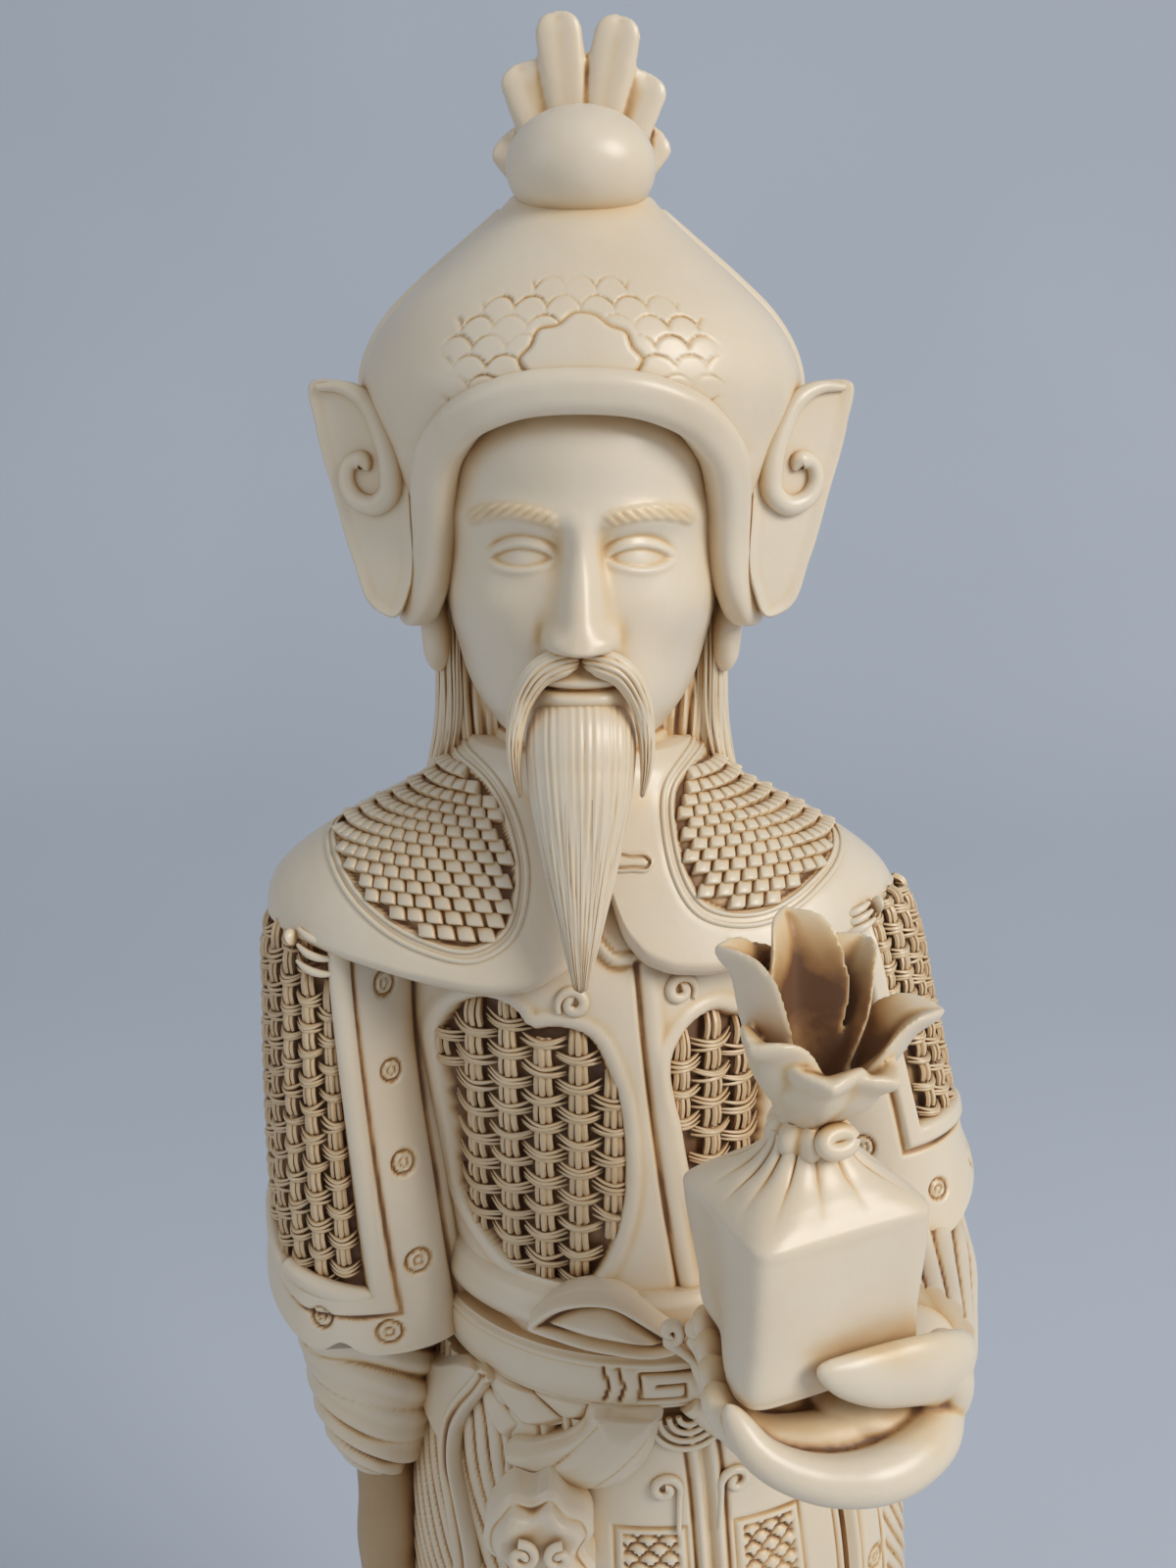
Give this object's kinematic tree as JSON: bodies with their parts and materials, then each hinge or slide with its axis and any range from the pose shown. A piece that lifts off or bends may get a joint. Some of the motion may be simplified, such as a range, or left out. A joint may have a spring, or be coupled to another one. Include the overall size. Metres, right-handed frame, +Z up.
{
  "type": "okimono figure",
  "caption": "Standing bearded guardian figure in carved armour and winged helmet, one hand holding a cloth-wrapped package, on a round turned stand",
  "frame": {"origin": "middle of the underside of the round stand, on the surface that the part stands on", "axes": "+Z up, -Y is the way the figure faces, +X towards the figure's own left hand, which holds the package"},
  "size_m": [0.0886, 0.102, 0.295],
  "materials": {
    "resin": "cream cast and hand-finished resin, satin polish",
    "stained_resin": "cream resin with warm brown stain left in the recesses",
    "dark_wood": "dark stained hardwood, turned and polished",
    "peg_wood": "plain whittled hardwood"
  },
  "bodies": {
    "root": {"stand": "dark_wood", "foot_peg_right": "peg_wood", "foot_peg_left": "peg_wood", "waist_peg": "peg_wood", "neck_peg": "peg_wood", "finial_peg": "peg_wood", "arm_peg_right": "peg_wood", "arm_peg_left": "peg_wood", "boot_right": "resin", "boot_left": "resin", "robe": "resin", "torso": "resin", "chest_weave_right": "stained_resin", "chest_weave_left": "stained_resin", "belt": "resin", "waist_sash": "resin", "apron_right": "resin", "apron_left": "resin", "side_plate_right": "resin", "side_plate_left": "resin", "back_plate": "resin", "buckle": "resin", "sash_swag": "resin", "sash_ribbon": "resin", "beast_mask": "resin", "sleeve_right": "resin", "sleeve_left": "resin", "arm_guard_right": "resin", "arm_guard_left": "resin", "arm_weave_right": "stained_resin", "arm_weave_left": "stained_resin", "arm_rail_right": "resin", "sash_loop": "resin", "bracer_right": "stained_resin", "bracer_left": "stained_resin", "package_box": "resin", "hand_right": "resin", "hand_left": "resin", "package_tie": "resin", "package_ruffle": "resin", "head": "resin", "neck_band": "resin", "collar": "resin", "collar_scales_right": "stained_resin", "collar_scales_left": "stained_resin", "collar_clasp": "resin", "helmet": "resin", "helmet_rim": "resin", "crest_band": "resin", "wing_right": "resin", "wing_left": "resin", "finial_ball": "resin", "finial_plume": "resin", "beard": "resin", "moustache": "resin", "hair_lock_right": "resin", "hair_lock_left": "resin", "hair_back": "resin"}
  },
  "joints": []
}
